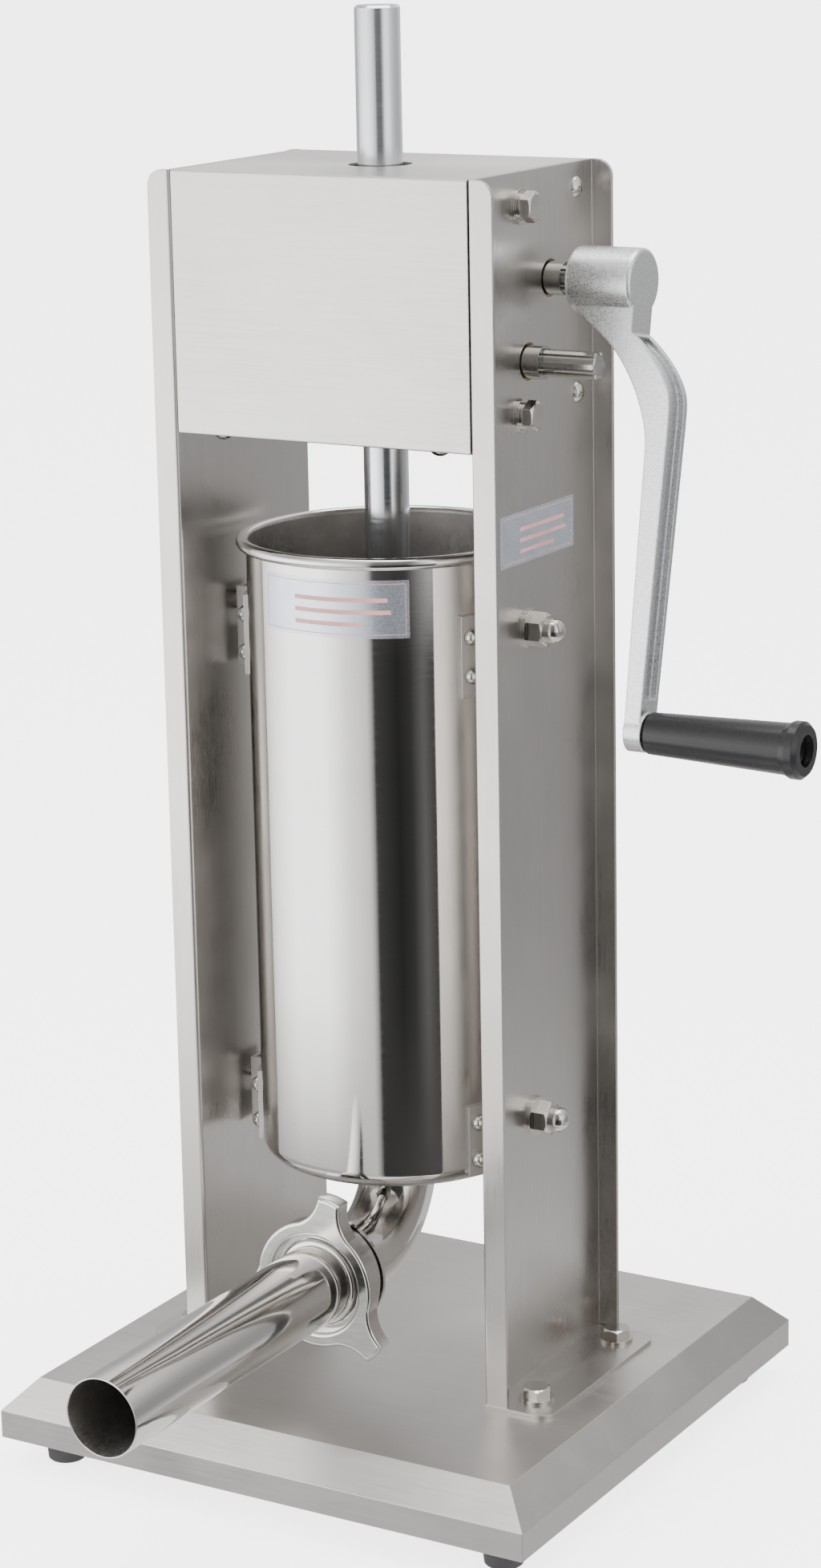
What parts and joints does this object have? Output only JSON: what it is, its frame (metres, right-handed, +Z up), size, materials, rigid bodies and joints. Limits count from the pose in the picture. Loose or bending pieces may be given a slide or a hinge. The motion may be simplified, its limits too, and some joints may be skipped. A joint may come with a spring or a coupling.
{
  "type": "sausage stuffer",
  "caption": "Vertical manual sausage stuffer: sheet-steel stand with geared crank drive, rack-driven piston, lift-out barrel, elbow outlet with winged ring nut and straight horn.",
  "frame": {"origin": "middle of the base footprint, on the floor under the rubber feet", "axes": "+Z up along the piston rod; the horn points along -Y, which is the front; the crank is on +X"},
  "size_m": [0.385, 0.4139, 0.7184],
  "materials": {
    "brushed_stainless": "brushed",
    "polished_stainless": "polished",
    "chromed_rod": "polished",
    "cast_aluminium": "as cast, tumbled",
    "machined_steel": "machined",
    "fasteners": "satin",
    "black_plastic": "semi-gloss",
    "black_rubber": "matt",
    "white_silicone": "matt",
    "bronze": "machined"
  },
  "bodies": {
    "stand": {"base_pan": "brushed_stainless", "rubber_feet": "black_rubber", "foot_screws": "fasteners", "foot_nuts": "fasteners", "right_column": "brushed_stainless", "left_column": "brushed_stainless", "anchor_bolts": "fasteners", "anchor_washers": "fasteners", "anchor_nuts": "fasteners", "front_cover": "brushed_stainless", "rear_cover": "brushed_stainless", "bottom_cover": "brushed_stainless", "bottom_cover_screws": "fasteners", "side_cover_screws": "fasteners", "gear_frame": "machined_steel", "gear_frame_bolts": "fasteners", "gear_frame_washers": "fasteners", "centre_bearing_plate": "machined_steel", "bearing_plate_screws": "fasteners", "shaft_bushes": "bronze", "rod_guide_bushes": "bronze", "barrel_studs": "fasteners", "stud_washers": "fasteners", "acorn_nuts": "fasteners"},
    "barrel_unit": {"barrel": "polished_stainless", "outlet_elbow": "polished_stainless", "outlet_ferrule": "polished_stainless", "barrel_hangers": "brushed_stainless", "hanger_cap_nuts": "fasteners", "horn_gasket": "white_silicone"},
    "horn": {"stuffing_horn": "polished_stainless"},
    "ring_nut": {"ring_nut": "polished_stainless"},
    "piston": {"piston_rod": "chromed_rod", "piston_top_plate": "machined_steel", "piston_seal": "white_silicone", "piston_bottom_plate": "machined_steel", "piston_nut": "fasteners"},
    "fast_shaft": {"fast_shaft": "machined_steel", "drive_gear": "machined_steel", "fast_shaft_collars": "machined_steel"},
    "slow_shaft": {"slow_shaft": "machined_steel", "slow_pinion": "machined_steel", "slow_shaft_collar": "machined_steel"},
    "crank": {"crank_arm": "cast_aluminium", "grip_spindle": "fasteners"},
    "grip": {"crank_grip": "black_plastic"}
  },
  "joints": [
    {"name": "piston_slide", "type": "slide", "parent": "stand", "child": "piston", "axis": [0, 0, 1], "range_m": [-0.064, 0.25]},
    {"name": "fast_shaft_spin", "type": "hinge", "parent": "stand", "child": "fast_shaft", "pos_m": [0, 0.015, 0.5918], "axis": [1, 0, 0], "range_deg": [-1792.5, 460.4]},
    {"name": "slow_shaft_spin", "type": "hinge", "parent": "stand", "child": "slow_shaft", "pos_m": [0, -0.007, 0.55485], "axis": [1, 0, 0], "range_deg": [-1188.1, 4629.4]},
    {"name": "crank_pull", "type": "slide", "parent": "fast_shaft", "child": "crank", "axis": [1, 0, 0], "range_m": [0, 0.034]},
    {"name": "grip_spin", "type": "hinge", "parent": "crank", "child": "grip", "pos_m": [0.195, -0.02237, 0.38617], "axis": [1, 0, 0], "continuous": true},
    {"name": "barrel_lift", "type": "slide", "parent": "stand", "child": "barrel_unit", "axis": [0, 0, 1], "range_m": [0, 0.008]},
    {"name": "horn_slide", "type": "slide", "parent": "barrel_unit", "child": "horn", "axis": [0, -1, 0], "range_m": [0, 0.016]},
    {"name": "ring_nut_spin", "type": "hinge", "parent": "horn", "child": "ring_nut", "pos_m": [0, -0.08, 0.1035], "axis": [0, -1, 0], "range_deg": [-2, 1442]}
  ],
  "couplings": [
    {"joint": "fast_shaft_spin", "follows": "piston_slide", "rad_per_m": -125},
    {"joint": "slow_shaft_spin", "follows": "piston_slide", "rad_per_m": 322.92},
    {"joint": "ring_nut_spin", "follows": "horn_slide", "rad_per_m": 1570.8}
  ]
}
